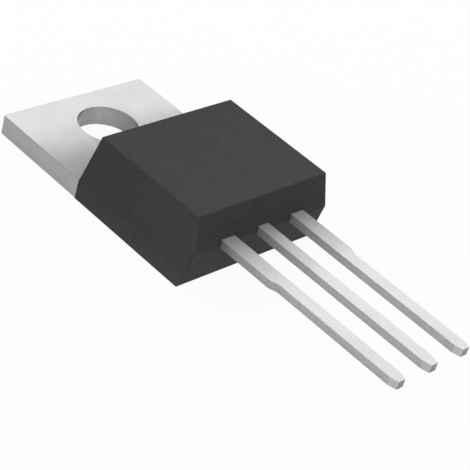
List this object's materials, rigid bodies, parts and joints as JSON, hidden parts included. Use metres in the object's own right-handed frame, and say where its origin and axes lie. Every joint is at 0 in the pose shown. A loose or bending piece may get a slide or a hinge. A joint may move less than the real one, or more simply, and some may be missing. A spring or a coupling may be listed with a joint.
{
  "type": "triac",
  "caption": "Triac in a flat black moulded package with a drilled metal mounting tab at one end and straight flat leads in a row at the other.",
  "frame": {"origin": "centre of the mounting hole, on the mounting face", "axes": "+Z out of the marking face, +Y towards the free end of the tab, the leads run towards -Y, +X towards the gate lead"},
  "size_m": [0.0104, 0.0285, 0.0044],
  "materials": {
    "black_epoxy": "matt black moulded epoxy with a fine spark-eroded grain",
    "plated_tab": "satin nickel plate on copper",
    "tinned_lead": "satin tin plate on copper",
    "solder": "dull grey solder",
    "copper_foil": "bare rolled copper",
    "alumina": "fired white alumina",
    "silicon": "dark lapped silicon",
    "passivation_glass": "fused green-grey glass",
    "contact_metal": "frosted metal contact",
    "copper_clip": "bare stamped copper"
  },
  "bodies": {
    "root": {"moulded_body": "black_epoxy", "heatsink_tab": "plated_tab", "tab_solder": "solder", "lower_foil": "copper_foil", "ceramic_insulator": "alumina", "upper_foil": "copper_foil", "header_solder": "solder", "mt2_lead": "tinned_lead", "chip_solder": "solder", "chip_back_contact": "contact_metal", "silicon_chip": "silicon", "passivation_glass": "passivation_glass", "mt1_contact": "contact_metal", "gate_contact": "contact_metal", "mt1_chip_solder": "solder", "gate_chip_solder": "solder", "mt1_clip": "copper_clip", "gate_clip": "copper_clip", "mt1_lead_solder": "solder", "gate_lead_solder": "solder", "mt1_lead": "tinned_lead", "gate_lead": "tinned_lead"}
  },
  "joints": []
}
